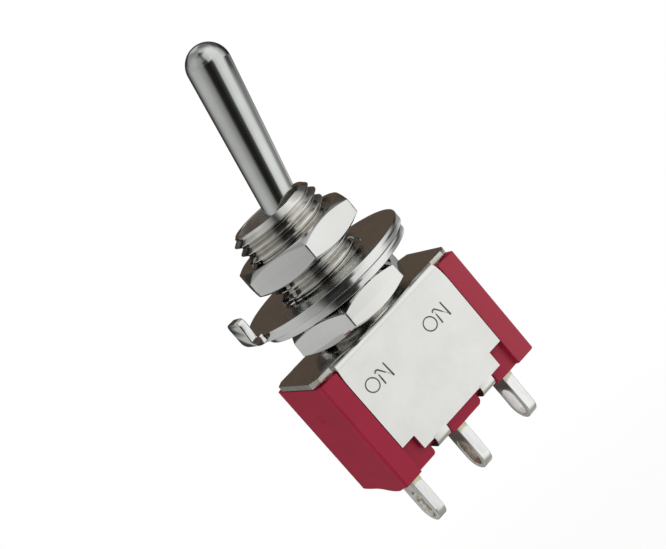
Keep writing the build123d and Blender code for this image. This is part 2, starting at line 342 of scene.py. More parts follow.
class Nodes:
    """Short names for the shader nodes that the materials use."""

    def __init__(self, tree):
        self.tree = tree
        tree.nodes.clear()

    def new(self, kind, **values):
        node = self.tree.nodes.new(kind)
        for key, value in values.items():
            setattr(node, key, value)
        return node

    def link(self, a, b):
        self.tree.links.new(a, b)

    def put(self, socket, value):
        if isinstance(value, bpy.types.NodeSocket):
            self.link(value, socket)
        else:
            socket.default_value = value

    def xyz(self, vector):
        """The three parts of a vector."""
        node = self.new("ShaderNodeSeparateXYZ")
        self.link(vector, node.inputs[0])
        return node.outputs

    def math(self, operation, a, b=None):
        node = self.new("ShaderNodeMath", operation=operation)
        self.put(node.inputs[0], a)
        if b is not None:
            self.put(node.inputs[1], b)
        return node.outputs[0]

    def smooth(self, value, low, high, to_low=0.0, to_high=1.0):
        """A smooth step from to_low to to_high as the value goes from low to high."""
        node = self.new("ShaderNodeMapRange", interpolation_type="SMOOTHSTEP")
        self.put(node.inputs["Value"], value)
        limits = {"From Min": low, "From Max": high, "To Min": to_low, "To Max": to_high}
        for name, limit in limits.items():
            node.inputs[name].default_value = limit
        return node.outputs["Result"]

    def mix(self, factor, a, b):
        """One colour at factor 0 and another at 1."""
        node = self.new("ShaderNodeMix", data_type="RGBA")
        self.put(node.inputs["Factor"], factor)
        colours = [s for s in node.inputs if s.type == "RGBA"]
        for socket, value in zip(colours, (a, b)):
            if isinstance(value, tuple) and len(value) == 3:
                value = (*value, 1.0)
            self.put(socket, value)
        return [s for s in node.outputs if s.type == "RGBA"][0]

    def mix_shader(self, factor, a, b):
        node = self.new("ShaderNodeMixShader")
        for socket, value in zip(node.inputs, (factor, a, b)):
            self.link(value, socket)
        return node.outputs[0]

    def ramp(self, factor, stops):
        """A colour by (place, colour) stops."""
        node = self.new("ShaderNodeValToRGB")
        ramp = node.color_ramp
        while len(ramp.elements) > 1:
            ramp.elements.remove(ramp.elements[-1])
        for i, (place, colour) in enumerate(stops):
            element = ramp.elements[0] if i == 0 else ramp.elements.new(place)
            element.position = place
            element.color = (*colour, 1.0)
        self.put(node.inputs[0], factor)
        return node.outputs[0]

    def millimetres(self, stretch=(1, 1, 1)):
        """The piece's own coordinates, in millimetres."""
        place = self.new("ShaderNodeTexCoord")
        scale = self.new("ShaderNodeMapping", vector_type="POINT")
        scale.inputs["Scale"].default_value = [s / MM for s in stretch]
        self.link(place.outputs["Object"], scale.inputs["Vector"])
        return scale.outputs[0]

    def noise(self, vector, scale, detail=3.0, roughness=0.55, distortion=0.0):
        node = self.new("ShaderNodeTexNoise")
        self.link(vector, node.inputs["Vector"])
        settings = {"Scale": scale, "Detail": detail, "Roughness": roughness, "Distortion": distortion}
        for name, setting in settings.items():
            node.inputs[name].default_value = setting
        return node.outputs[0]

    def gloss(self, place, low, high, scale=1.3, detail=5.0, grain=0.6):
        """A roughness that wanders between two limits."""
        return self.smooth(self.noise(place, scale, detail, grain), 0.3, 0.7, low, high)

    def relief(self, place, bumps, detail=2.0, roughness=0.5):
        """A normal with one layer of bumps for each (noise scale per mm, depth in mm)."""
        normal = None
        for scale, depth in bumps:
            node = self.new("ShaderNodeBump")
            node.inputs["Strength"].default_value = 1.0
            node.inputs["Distance"].default_value = depth * MM
            self.link(self.noise(place, scale, detail, roughness), node.inputs["Height"])
            if normal is not None:
                self.link(normal, node.inputs["Normal"])
            normal = node.outputs[0]
        return normal


def wire(n, shader, base, metallic, gloss, normal):
    """Links a material's colour, roughness and normal, and sets how metallic it is."""
    shader.inputs["Metallic"].default_value = metallic
    for name, value in (("Base Color", base), ("Roughness", gloss), ("Normal", normal)):
        n.link(value, shader.inputs[name])


def new_material(name):
    material = bpy.data.materials.new(name)
    material.use_nodes = True
    n = Nodes(material.node_tree)
    shader = n.new("ShaderNodeBsdfPrincipled")
    out = n.new("ShaderNodeOutputMaterial")
    n.link(shader.outputs[0], out.inputs[0])
    return material, n, shader


def metal(name, colour, tint, roughness, bumps, cloud=0.25, stretch=(1, 1, 1)):
    """Plated metal: slight clouding, uneven gloss, and one or more sizes of unevenness."""
    material, n, shader = new_material(name)
    place = n.millimetres(stretch)
    clouds = n.smooth(n.noise(place, cloud, 4.0), 0.3, 0.7)
    base = n.ramp(clouds, [(0.0, tint), (1.0, colour)])
    wire(n, shader, base, 1.0, n.gloss(place, *roughness), n.relief(place, bumps))
    return material


def plastic(name, colour, dark, roughness, bumps, specular=0.5, skin=0.0, painted_light_end=None):
    """Moulded plastic: a faint flow mottle, uneven gloss and a fine skin.

    skin is the weight of the skin's own gloss, and the last argument is painted light: a paler colour laid on
    towards the +X end."""
    material, n, shader = new_material(name)
    place = n.millimetres()
    flow = n.noise(n.millimetres((0.5, 0.5, 1.4)), 0.55, 4.0, 0.6, 0.8)
    grain = n.noise(place, 7.0, 3.0, 0.6)
    mottle = n.math("ADD", n.math("MULTIPLY", flow, 0.7), n.math("MULTIPLY", grain, 0.3))
    base = n.ramp(n.smooth(mottle, 0.35, 0.65), [(0.0, dark), (1.0, colour)])
    # Painted light: the base colour turns paler towards the +X end.
    if painted_light_end:
        base = n.mix(n.smooth(n.xyz(place)[0], 3.4, 5.6), base, painted_light_end)
    normal = n.relief(place, bumps, 3.0, 0.55)
    wire(n, shader, base, 0.0, n.gloss(place, *roughness, 2.0, 4.0, 0.55), normal)
    shader.inputs["Specular IOR Level"].default_value = specular
    if skin:
        shader.inputs["Coat Weight"].default_value = skin
        shader.inputs["Coat IOR"].default_value = 1.8
        shader.inputs["Coat Roughness"].default_value = 0.38
        n.link(normal, shader.inputs["Coat Normal"])
    return material


def matt(name, colour, other, metallic, roughness, scale, bumps):
    """Dull patchy metal, such as a punched wall: part of its light is scattered. Here it carries the painted
    shade of the bore, the marks and the dark edges, and the painted light and shade of the slot walls.
    """
    material, n, shader = new_material(name)
    place = n.millimetres()
    patches = n.smooth(n.noise(place, scale, 3.0, 0.6), 0.42, 0.60)
    base = n.ramp(patches, [(0.0, colour), (1.0, other)])
    wire(n, shader, base, metallic, n.gloss(place, *roughness, 3.0, 3.0, 0.55), n.relief(place, bumps))
    return material


def lug_metal(name, shade_low, shade_high, metallic):
    """Silver plate on a lug's broad faces, with painted shade: a brown tint towards the housing.

    The painted shade comes in between the two heights."""
    material, n, shader = new_material(name)
    place = n.millimetres()
    drift = n.math("MULTIPLY", n.noise(place, 1.1, 3.0, 0.6), 0.9)
    shade_level = n.smooth(n.math("ADD", n.xyz(place)[2], drift), shade_low, shade_high)
    clouds = n.smooth(n.noise(place, 0.9, 3.0), 0.35, 0.65)
    unshaded = n.ramp(clouds, [(0.0, (0.66, 0.65, 0.59)), (1.0, (0.82, 0.82, 0.77))])
    base = n.mix(shade_level, unshaded, (0.115, 0.085, 0.062))
    gloss = n.gloss(place, 0.20, 0.32, 1.6, 3.0, 0.55)
    wire(n, shader, base, metallic, gloss, n.relief(place, [(1.3, 0.006)]))
    return material


def thread_metal(name):
    """Nickel on the thread, with painted shade: its roots and lower flanks get a darker, browner colour than
    its crests and rim.
    """
    material, n, shader = new_material(name)
    place = n.millimetres()
    x, y, z = n.xyz(place)
    radius = n.math("SQRT", n.math("ADD", n.math("MULTIPLY", x, x), n.math("MULTIPLY", y, y)))
    # Painted shade: all but the crests and the rim take the darker, browner colour.
    crests_and_rim = n.math("MAXIMUM", n.smooth(radius, 2.90, 3.06), n.smooth(z, 8.35, 8.50))
    clouds = n.smooth(n.noise(place, 0.8, 4.0), 0.3, 0.7)
    root_shade = n.ramp(clouds, [(0.0, (0.47, 0.445, 0.41)), (1.0, (0.62, 0.605, 0.57))])
    bright = n.ramp(clouds, [(0.0, (0.72, 0.72, 0.70)), (1.0, (0.80, 0.80, 0.785))])
    base = n.mix(crests_and_rim, root_shade, bright)
    wire(n, shader, base, 1.0, n.gloss(place, 0.07, 0.12), n.relief(place, [(0.9, 0.0012)]))
    return material


thread_nickel = thread_metal("nickel_thread")
lever_nickel = metal(
    "nickel_lever",
    (0.60, 0.625, 0.61),
    (0.54, 0.56, 0.545),
    (0.05, 0.09),
    [(0.8, 0.0016), (4.0, 0.0007), (14.0, 0.0003)],
    cloud=0.5,
)
# Painted shade: the bore's inside gets a darker, browner matt colour than the rest of the nickel.
bore_shade = matt(
    "nickel_bore_painted_shade", (0.46, 0.405, 0.36), (0.34, 0.30, 0.27), 0.15, (0.30, 0.40), 0.5, [(1.5, 0.003)]
)
hardware = metal(
    "nickel_hardware",
    (0.73, 0.735, 0.725),
    (0.685, 0.69, 0.675),
    (0.05, 0.10),
    [(1.1, 0.0014), (6.0, 0.0003)],
)
brushed = metal("nickel_brushed", (0.74, 0.78, 0.80), (0.68, 0.715, 0.73), (0.13, 0.18), [(2.0, 0.0010)])
tin = metal(
    "tinned_sheet",
    (0.755, 0.76, 0.745),
    (0.715, 0.72, 0.70),
    (0.14, 0.20),
    [(0.6, 0.0016), (5.0, 0.0003)],
    cloud=0.5,
)
# Painted shade for the engraved strokes that are dark.
mark = matt("tinned_mark_painted_shade", (0.16, 0.16, 0.15), (0.25, 0.25, 0.235), 0.6, (0.35, 0.5), 2.4, [(5.0, 0.002)])
edge_grey = metal("tinned_cut_edge", (0.60, 0.60, 0.55), (0.52, 0.50, 0.45), (0.2, 0.3), [(2.0, 0.003)], 1.5)
# Painted shade: a near-black coat for the ring tab's root and the bent tabs' end faces.
shade_edge = matt(
    "edge_painted_shade", (0.060, 0.040, 0.036), (0.115, 0.085, 0.072), 0.7, (0.3, 0.45), 1.6, [(4.0, 0.004)]
)
silver = metal(
    "silver_plate",
    (0.84, 0.845, 0.85),
    (0.75, 0.755, 0.75),
    (0.12, 0.20),
    [(1.3, 0.006)],
    cloud=2.2,
    stretch=(1.6, 1.6, 0.35),
)
# Each slot's wall carries painted light and shade: a near-white wall stands for light seen through the slot,
# a brown one for shade, and a patchy one for both
wall_painted_light = matt(
    "slot_wall_painted_light", (0.97, 0.97, 0.96), (0.95, 0.95, 0.94), 0.2, (0.40, 0.45), 1.3, [(1.3, 0.001)]
)
wall_painted_shade = matt(
    "slot_wall_painted_shade", (0.22, 0.18, 0.145), (0.50, 0.43, 0.36), 0.35, (0.25, 0.4), 0.9, [(3.0, 0.003)]
)
wall_painted_light_and_shade = matt(
    "slot_wall_painted_light_and_shade", (0.93, 0.93, 0.83), (0.30, 0.28, 0.22), 0.2, (0.3, 0.4), 1.7, [(3.0, 0.006)]
)
contact = metal("contact_silver", (0.86, 0.85, 0.82), (0.78, 0.77, 0.73), (0.15, 0.25), [(3.0, 0.002)])
steel = metal("spring_steel", (0.55, 0.55, 0.54), (0.45, 0.45, 0.44), (0.18, 0.30), [(6.0, 0.001)])
red = plastic(
    "red_moulding",
    (0.405, 0.0060, 0.041),
    (0.365, 0.0055, 0.037),
    (0.5, 0.6),
    [(1.2, 0.006), (9.0, 0.0010)],
    specular=0.0,
    skin=0.40,
    # Painted light: the housing's colour turns paler towards its +X end.
    painted_light_end=(0.432, 0.031, 0.062),
)
nylon = plastic("nylon", (0.62, 0.60, 0.54), (0.56, 0.54, 0.48), (0.35, 0.45), [(4.0, 0.002)])
epoxy = plastic("epoxy", (0.97, 0.98, 0.76), (0.88, 0.95, 0.58), (0.15, 0.32), [(1.6, 0.016), (6.0, 0.003)])


# ---------------- bushing


bush_lo, bush_hi = edges_of("bushing")
crest = 3.12
root = 2.755
pitch = 0.635
thread_start = 0.45
rim_cut = 0.45
top = bush_hi.z
lip = 0.05
mouth_radius = 2.40
mouth_depth = 1.60
seat_radius = 2.39
seat_opening = 1.90
keyway_floor = 2.62
keyway_half = 0.50
housing_top = -0.40
flange_x, flange_y = bush_hi.x, 2.84
slot_x, slot_y, flat_y = 2.64, 1.02, 1.93


def envelope(z):
    """The bushing's outer radius where the rim's chamfer cuts the thread."""
    return crest - max(0.0, z - (top - rim_cut))


def thread_section():
    """(share of a pitch, radius) points over one turn of the thread, from its crest."""
    flank = [
        (0.035, crest - 0.004),
        (0.065, crest - 0.03),
        (0.14, crest - 0.10),
        (0.30, root + 0.11),
        (0.41, root + 0.03),
        (0.455, root + 0.006),
    ]
    return [(0.0, crest), *flank, (0.5, root)] + [(1 - part, r) for part, r in reversed(flank)]


def add_thread(b, columns=150):
    """The threaded outside with its keyway. Returns the rim's outline."""
    section = thread_section()
    turns = int(top / pitch) + 3
    rows = []
    for i in range(columns + 1):
        share = i / columns
        column = []
        for k in range(-2, turns):
            for part, radius in section:
                z = min(top, max(0.0, pitch * (k + part + thread_start + share)))
                r = min(radius, envelope(z)) if z < top else envelope(z)
                gap = math.asin(keyway_half / r)
                column.append(Vector((*polar(r, PI + gap + (2 * PI - 2 * gap) * share), z)))
        rows.append(column)
    b.grid(rows)
    for column, y in ((rows[0], -keyway_half), (rows[-1], keyway_half)):
        b.grid([column, [Vector((-keyway_floor, y, v.z)) for v in column]])
    floor = [(-keyway_floor, -keyway_half), (-keyway_floor, keyway_half)]
    b.add([(*p, 0.0) for p in floor] + [(*p, top) for p in reversed(floor)], [(0, 1, 2, 3)])
    return [tuple(row[-1][:2]) for row in rows] + floor[::-1]


def bore_profile():
    """The bore from its mouth down, with the seat that the lever's ball turns in."""
    seat_top = pivot_height + math.sqrt(seat_radius**2 - seat_opening**2)
    corner = [(mouth_radius + 2 * lip, top), (mouth_radius, top), (mouth_radius, top - 1)]
    profile = [(mouth_radius + lip, top)] + rounded(corner, lip, 4)[1:-1]
    profile += [(mouth_radius, top - 0.4), (mouth_radius, top - mouth_depth + 0.08)]
    profile += [(mouth_radius - 0.03, top - mouth_depth)]
    profile += [(seat_opening + 0.02, seat_top + 0.03), (seat_opening, seat_top)]
    start = math.acos((seat_top - pivot_height) / seat_radius)
    for k in range(1, 13):
        height, radius = polar(seat_radius, start + (PI / 2 - start) * k / 12)
        profile.append((radius, pivot_height + height))
    return profile + [(seat_radius, 0), (seat_radius, housing_top)]


def add_flange(b):
    """Hidden flange under the frame, with the slot that the lever's stem swings in."""
    start, end = math.asin(slot_y / seat_radius), math.asin(flat_y / seat_radius)
    quarter = [(slot_x, slot_y)] + [polar(seat_radius, start + (end - start) * k / 8) for k in range(9)]
    half = quarter + [(-x, y) for x, y in reversed(quarter)]
    hole = half + [(-x, -y) for x, y in half]
    outline = rounded(rectangle(flange_x, flange_y), 0.2, 3, True)
    b.slab(outline, [hole], bush_lo.z, housing_top, 0.04)


def make_bushing():
    b = Build()
    segments = 128
    rim = add_thread(b)
    b.fill([rim, circle(mouth_radius + lip, segments)], lambda x, y: (x, y, top))
    b.lathe(bore_profile(), segments)
    b.lathe([(crest, 0.0), (crest, housing_top)], segments)
    add_flange(b)
    piece = b.piece("bushing_threaded", [thread_nickel, bore_shade], 40)
    # The bore's faces take the painted shade.
    coat(piece, 1, lambda c, n: math.hypot(c.x, c.y) < mouth_radius + 0.02 and housing_top < c.z < top - 0.06)
    belongs(piece, "switch_body", "nickel_plate", "bushing")


make_bushing()


# ---------------- lever


lever_reach = 14.895
tip_radius = 1.48
neck_radius = 1.175
ball_radius = 2.35
ball_half = 1.90
stem_radius = 1.15
stem_drop = 4.70
stem_bore = 0.80
stem_bore_rise = 1.20


def on_lever(v):
    """A point made upright about the lever's pivot, put at the rest tilt."""
    c, s = polar(1, math.radians(lever_tilt))
    return Vector((v.x * c + v.z * s, v.y, v.z * c - v.x * s)) + Vector((0, 0, pivot_height))


def make_lever():
    b = Build()
    tip_centre = lever_reach - tip_radius
    profile = []
    for k in range(29):
        height, radius = polar(tip_radius, PI / 2 * k / 28)
        profile.append((radius, tip_centre + height))
    join = math.sqrt(ball_radius**2 - neck_radius**2)
    for k in range(1, 13):
        s = k / 12
        profile.append((tip_radius + (neck_radius - tip_radius) * s, tip_centre + (join - tip_centre) * s))
    t0, t1 = math.asin(neck_radius / ball_radius), PI - math.asin(stem_radius / ball_radius)
    profile += [polar(ball_radius, t0 + (t1 - t0) * k / 24)[::-1] for k in range(1, 25)]
    stem = [(stem_radius, -2.2), (stem_radius, -stem_drop), (stem_bore, -stem_drop), (stem_bore, 0)]
    profile += rounded(stem, 0.08, 3)[1:-1]
    profile += [(stem_bore, stem_bore_rise), (0, stem_bore_rise)]

    def place(v):
        if abs(v.z) < ball_radius:
            v.y = max(-ball_half, min(ball_half, v.y))
        return on_lever(v)

    b.lathe(profile, 128, place=place)
    belongs(b.piece("lever_bat", lever_nickel, 40), "lever", "nickel_plate", "lever")


make_lever()


# ---------------- nuts


nut_flats = 7.94
nut_bevel = 3.85
nut_slope = math.tan(math.radians(30))
nut_bore = 3.15
nut_sink = 0.30
nut_corner = 0.16


def make_nut(node, name, turn, draft=0.0):
    """A bevelled hexagon nut turned by an angle. With draft its flats widen downwards."""
    lo, hi = edges_of(node)
    thickness = hi.z - lo.z
    hexagon = [polar(nut_flats / math.sqrt(3), math.radians(turn + 60 * k)) for k in range(6)]
    coarse = rounded(hexagon, nut_corner, 6, True)
    outline = []
    for a, c in zip(coarse, coarse[1:] + coarse[:1]):
        parts = 24 if math.dist(a, c) > 1 else 1
        for k in range(parts):
            outline.append((a[0] + (c[0] - a[0]) * k / parts, a[1] + (c[1] - a[1]) * k / parts))
    rows = []
    for x, y in outline:
        r = math.hypot(x, y)
        drop = (r - nut_bevel) * nut_slope
        half = [
            (nut_bore, thickness / 2, 0),
            (nut_bore, thickness - nut_sink * 0.8, 0.05),
            (nut_bore + nut_sink, thickness, 0.04),
            (nut_bevel, thickness, 0.05),
            (r, thickness - drop, 0.045),
        ]
        section = half + [(a, thickness - z, e) for a, z, e in reversed(half[1:])]
        section = rounded(section, 0.0, 2, True)
        flare = [draft * (thickness / 2 - z) if a > nut_bevel + 0.02 else 0.0 for a, z in section]
        ends = [(a + f, z) for (a, z), f in zip(section, flare)]
        rows.append([Vector((x / r * a, y / r * a, lo.z + z)) for a, z in ends])
    b = Build()
    b.grid(rows, wrap_rows=True, wrap_columns=True)
    belongs(b.piece(name, hardware, 30), node, "nickel_hardware", node)


make_nut("upper_nut", "upper_nut_hex", 12.9)
make_nut("lower_nut", "lower_nut_hex", 1.8, 0.06)


# ---------------- locking ring and washer


ring_radius = 5.945
ring_thickness = 0.60
ring_edge = 0.07
ring_bore = 3.22
ring_key_half = 0.40
ring_key_x = 2.77
ring_tab_width = 1.70
ring_tab_bend = 0.75
ring_tab_corner = 0.40
ring_tab_lift = 0.10


def tab_path(reach, height):
    """The tab's centre line out along the ring and up, and its half width at each point."""
    mid = ring_thickness / 2
    bend = ring_tab_bend - mid
    tab_x = reach - mid
    path = [(-ring_radius + 0.03, mid)]
    corner_x, corner_z = -tab_x + bend, mid + bend
    for k in range(11):
        z, x = polar(bend, PI / 2 * k / 10)
        path.append((corner_x - x, corner_z - z))
    straight = height - ring_tab_corner
    path += [(-tab_x, (corner_z + straight) / 2), (-tab_x, straight)]
    half = ring_tab_width / 2
    widths = [half] * len(path)
    for k in range(1, 8):
        x, z = polar(ring_tab_corner, PI / 2 * k / 7)
        path.append((-tab_x, height - ring_tab_corner + z))
        widths.append(half - ring_tab_corner + x)
    return path, widths


def make_ring():
    lo, hi = edges_of("locking_ring")
    segments = 160
    hole = []
    start = math.asin(ring_key_half / ring_bore)
    for k in range(segments + 1):
        hole.append(polar(ring_bore, PI + start + (2 * PI - 2 * start) * k / segments))
    hole += [(-ring_key_x, ring_key_half), (-ring_key_x, -ring_key_half)]
    b = Build()
    b.slab(circle(ring_radius, segments), [hole], lo.z, lo.z + ring_thickness, ring_edge)

    height = hi.z - lo.z
    path, widths = tab_path(-lo.x, height)
    lift = Vector((0, 0, lo.z + ring_tab_lift))
    half_tab = ring_tab_width / 2
    rows = []
    for i, ((x, z), w) in enumerate(zip(path, widths)):
        before, after = path[max(0, i - 1)], path[min(len(path) - 1, i + 1)]
        along = Vector((after[0] - before[0], 0, after[1] - before[1])).normalized()
        across = Vector((along.z, 0, -along.x))
        gap = max(0.0, ring_edge - (height - z))
        inset = ring_edge - math.sqrt(ring_edge * ring_edge - gap * gap)
        w, half_sheet = w - inset, ring_thickness / 2 - inset
        loop = rounded(rectangle(w, half_sheet), 0.11, 3, True)
        lean = 0.05 * max(0.0, min(1.0, (z - 0.9) / 0.5))
        rows.append([Vector((x + (half_tab - y) * lean, y, z)) + across * d + lift for y, d in loop])
    b.grid(rows, wrap_columns=True)
    b.cap(len(rows), len(rows[0]))
    piece = b.piece("locking_ring_tabbed", [hardware, brushed, shade_edge], 32)

    # Painted shade where the tab rises from the ring.
    def at_root(c, n):
        return (n.y < -0.5 or n.z > 0.4) and -6.60 < c.x < -6.14 and abs(c.y) < 1.2 and c.z < lo.z + 0.75

    coat(piece, 2, at_root)
    coat(piece, 1, lambda c, n: abs(n.z) > 0.98 and math.hypot(c.x, c.y) < ring_radius - ring_edge - 0.02)
    belongs(piece, "locking_ring", "nickel_hardware", "locking_ring")


make_ring()


washer_half = 0.25
tooth_root = 4.35
tooth_tip = crest + 0.25 + 0.10
tooth_count = 12
tooth_half = 0.55
tooth_twist = math.radians(9)


def make_lock_washer():
    lo, hi = edges_of("lock_washer")
    radius = (hi.x - lo.x) / 2
    middle = Vector(((hi.x + lo.x) / 2, 0, (hi.z + lo.z) / 2))
    b = Build()
    section = rounded(rectangle(radius, washer_half, tooth_root), 0.06, 3, True)
    b.lathe(section, 160, closed=True, place=lambda v: v + middle)
    tooth = rounded(rectangle(tooth_root + washer_half, tooth_half, tooth_tip), 0.12, 3, True)
    twist = Matrix.Rotation(tooth_twist, 3, "X")
    for i in range(tooth_count):
        turn = Matrix.Rotation(math.radians(360 * (i + 0.5) / tooth_count), 3, "Z") @ twist
        b.slab(tooth, [], -washer_half, washer_half, 0.05, lambda v, turn=turn: turn @ v + middle)
    belongs(b.piece("lock_washer_toothed", hardware, 32), "lock_washer", "nickel_hardware", "lock_washer")


make_lock_washer()


# ---------------- folded frame with its ON marks


leg_face = 3.43
leg_corner_x = 4.80
tab_centre = 2.235
tab_width = 1.16
tab_top = -7.86
sheet = 0.40
on_places = (-3.602, 1.904)
letter_low, letter_high = -3.15, -2.16
o_centre_z, o_half_x, o_half_z, o_stroke, o_slant = -2.640, 0.460, 0.475, 0.052, 0.10
n_hook = [
    (-0.13, -0.08, 0.045),
    (-0.08, -0.02, 0.055),
    (0.01, 0.01, 0.06),
    (0.10, -0.01, 0.06),
    (0.16, -0.06, 0.058),
    (0.31, -0.29, 0.052),
    (0.46, -0.53, 0.04),
]


def stroke(points, radii, y):
    """A round-ended stroke through (x, z) points in the plane of the leg's face."""
    line = [Vector((x, y, z)) for x, z in points]
    first, last = (line[1] - line[0]).normalized(), (line[-1] - line[-2]).normalized()
    ends = [polar(1, PI / 2 * k / 5) for k in range(5)]
    path = [line[0] - first * radii[0] * c for c, s in ends] + line
    path += [line[-1] + last * radii[-1] * c for c, s in reversed(ends)]
    sizes = [radii[0] * s + 0.002 for c, s in ends] + radii
    return path, sizes + [radii[-1] * s + 0.002 for c, s in reversed(ends)]


def mark_cutters(face_y):
    """Round-ended strokes that engrave the word ON under each lever position.

    The punch went in deepest along the strokes that are dark, and those strokes carry painted shade in the
    dark mark coat."""
    cutters = []

    def engrave(dark, path, sizes, closed=False):
        b = Build()
        b.tube(path, sizes, closed)
        me = b.mesh(f"mark_cutter_{len(cutters)}")
        me.materials.append(tin)
        me.materials.append(mark)
        for face in me.polygons:
            face.material_index = int(dark)
        cutters.append(put_in_scene(me.name, me))

    def draw(dark, depth, radii, points):
        engrave(dark, *stroke(points, radii, face_y - max(radii) + depth))

    for place in on_places:
        loop = []
        for x, z in circle(1, 40):
            x = o_half_x * x - o_slant * o_half_z * z
            loop.append(Vector((place + x, face_y - o_stroke + 0.036, o_centre_z + o_half_z * z)))
        engrave(True, loop, o_stroke, True)
        left, right, low, high = place + 0.73, place + 1.46, letter_low, letter_high
        draw(False, 0.020, [0.035, 0.045], [(left - 0.03, high - 0.12), (left, high - 0.36)])
        stem = [(left, high - 0.35), (left - 0.005, high - 0.65), (left - 0.01, low)]
        draw(True, 0.055, [0.05, 0.064, 0.06], stem)
        draw(False, 0.022, [0.04, 0.04], [(right - 0.27, high - 0.53), (right - 0.01, low + 0.06)])
        draw(True, 0.050, [r for x, z, r in n_hook], [(left + x, high + z) for x, z, r in n_hook])
        stem = [(right - 0.025, high), (right, high - 0.5), (right + 0.025, low)]
        draw(True, 0.060, [0.055, 0.064, 0.07], stem)
    return cutters


def box_cutter(x_ends, y_ends, z_ends):
    """A box between two ends on each axis, for taking out of a mesh."""
    (x0, x1), (y0, y1), (z0, z1) = (sorted(ends) for ends in (x_ends, y_ends, z_ends))
    b = Build()
    points = [(x, y, z) for z in (z0, z1) for x, y in ((x0, y0), (x1, y0), (x1, y1), (x0, y1))]
    sides = [(0, 1, 5, 4), (1, 2, 6, 5), (2, 3, 7, 6), (3, 0, 4, 7)]
    b.add(points, [(3, 2, 1, 0), (4, 5, 6, 7)] + sides)
    return put_in_scene("cutter", b.mesh("cutter"))


def sliced(bm, axis, places, below=None):
    """Cuts faces across an axis at some places. With below, only those whose centre is under it."""
    for place in places:
        faces = [f for f in bm.faces if below is None or f.calc_center_median().z < below * MM]
        edges = list(dict.fromkeys(e for f in faces for e in f.edges))
        verts = list(dict.fromkeys(v for f in faces for v in f.verts))
        across = Vector([float(k == axis) for k in range(3)])
        where = across * place * MM
        bmesh.ops.bisect_plane(bm, geom=verts + edges + faces, plane_co=where, plane_no=across, dist=1e-7)


def bent_tabs():
    """The four locking tabs, bent in under the housing with a soft outer bend."""
    radius, turn_y, turn_z = 0.64, leg_face - 0.62, -7.98

    def bend(r, turns):
        return [(turn_y + y, turn_z - z) for y, z in (polar(r, PI / 2 * t) for t in turns)]

    profile = [(leg_face, tab_top + 0.10)] + bend(radius, [k / 12 for k in range(13)])
    profile += [(leg_face - 1.40, -8.60), (leg_face - 1.50, -8.52)]
    profile += [(leg_face - 1.50, -8.27), (leg_face - 1.42, -8.20)]
    profile += bend(radius - sheet, [1 - k / 6 for k in range(7)]) + [(leg_face - sheet, tab_top + 0.10)]
    b = Build()
    half = tab_width / 2
    for side in (-1, 1):

        def place(v):
            return Vector((v.z, v.x * side, v.y))

        for centre in (-tab_centre, tab_centre):
            b.slab(profile, [], centre - half, centre + half, 0.05, place)
    return b


def shape_frame(bm):
    """Draws the legs' top corners in a little, where the sheet was relieved for its fold."""
    deepest = 1.6
    sliced(bm, 2, (-deepest, -1.35, -1.1, -0.9, -0.7))
    for v in bm.verts:
        x, y, z = v.co / MM
        if abs(y) > leg_face - 0.47 and abs(abs(x) - leg_corner_x) < 0.1 and z > -deepest:
            v.co.x -= math.copysign(0.20 * ((z + deepest) / deepest) ** 2, x) * MM


def on_tab_sides(c, n):
    return abs(n.x) > 0.9 and c.z < tab_top - 0.08 and abs(abs(c.x) - tab_centre) > tab_width / 2 - 0.02


def make_frame():
    cuts = mark_cutters(edges_of("frame")[0].y)
    for side in (-1, 1):
        for centre in (-tab_centre, tab_centre):
            cuts.append(box_cutter((centre - 0.9, centre + 0.9), (side * 1.5, side * 3.6), (-9.2, tab_top)))
    # The second coat is painted shade in the dark ON strokes.
    coats = [tin, mark, shade_edge, edge_grey]
    piece = softened("frame", "frame_folded", 0.05, coats, cuts, shape=shape_frame, extra=bent_tabs())
    # Painted shade on the bent tabs' end faces.
    coat(piece, 2, on_tab_sides)
    coat(piece, 3, lambda c, n: abs(n.z) < 0.5 and -sheet < c.z < 0 and abs(c.x) > leg_corner_x + 0.05)
    belongs(piece, "switch_body", "tinned_sheet", "frame")


make_frame()


# ---------------- housing, lugs and seals


def ease(value, low, high):
    """0 below low, 1 above high, and a smooth step between."""
    t = max(0.0, min(1.0, (value - low) / (high - low)))
    return t * t * (3 - 2 * t)


lug_places = (-4.70, 0.0, 4.70)
body_half_x = 6.35
foot_z = -8.7


def sag(x, y):
    """How far the moulding's underside hangs below its front edge."""
    depth = 0.30 * ease(y, -3.2, -1.9) + 0.06 * math.sin(1.5 * y + 3.4) * ease(y, -2.8, -1.0)
    near = max(math.exp(-((x - place) / 1.15) ** 2) for place in lug_places)
    return depth + 0.16 * near * ease(y, -2.6, -1.5) * (1 - ease(y, 1.5, 2.6))


def round_edges(bm, radius, segments, test):
    """Rounds the edges that a test of their two ends (mm) picks."""
    edges = [e for e in bm.edges if test(e.verts[0].co / MM, e.verts[1].co / MM)]
    bmesh.ops.bevel(
        bm, geom=edges, offset=radius * MM, segments=segments, profile=0.5, affect="EDGES", clamp_overlap=True
    )


